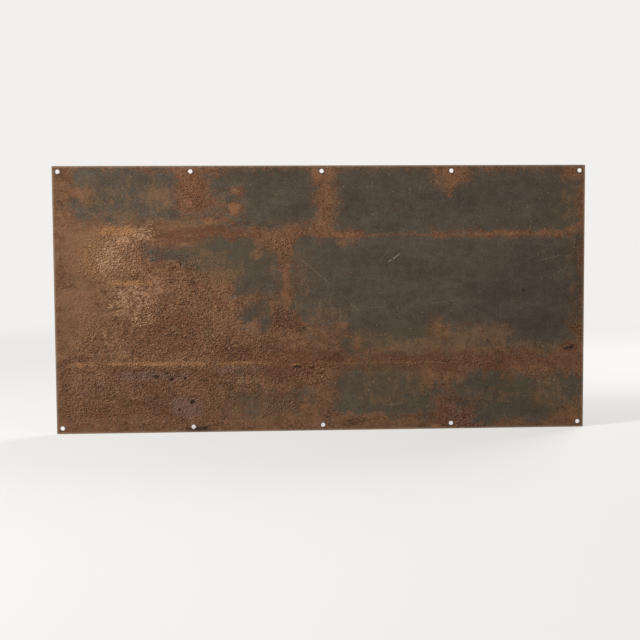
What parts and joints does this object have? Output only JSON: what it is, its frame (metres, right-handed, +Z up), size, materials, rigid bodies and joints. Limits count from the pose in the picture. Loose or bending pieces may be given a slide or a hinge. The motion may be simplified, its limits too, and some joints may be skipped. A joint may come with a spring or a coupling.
{
  "type": "enamelled sheet-steel sign",
  "caption": "Flat oblong sheet-steel sign with fired enamel coats, punched fixing holes along its long edges and a rusted rear.",
  "frame": {"origin": "middle of the pattern of fixing holes, on the rear face of the steel", "axes": "+X along the width, +Z up, +Y towards the enamelled front, so the rusted rear faces -Y"},
  "size_m": [0.762, 0.0026, 0.381],
  "materials": {
    "steel": "matte",
    "rear_enamel": "satin",
    "rust": "matte",
    "ground_enamel": "gloss",
    "white_enamel": "gloss",
    "blue_enamel": "gloss"
  },
  "bodies": {
    "root": {"steel_sheet": "steel", "rear_ground_coat": "rear_enamel", "rear_rust_scale": "rust", "front_ground_coat": "ground_enamel", "front_white_coat": "white_enamel", "front_blue_border": "blue_enamel", "front_blue_field": "blue_enamel"}
  },
  "joints": []
}
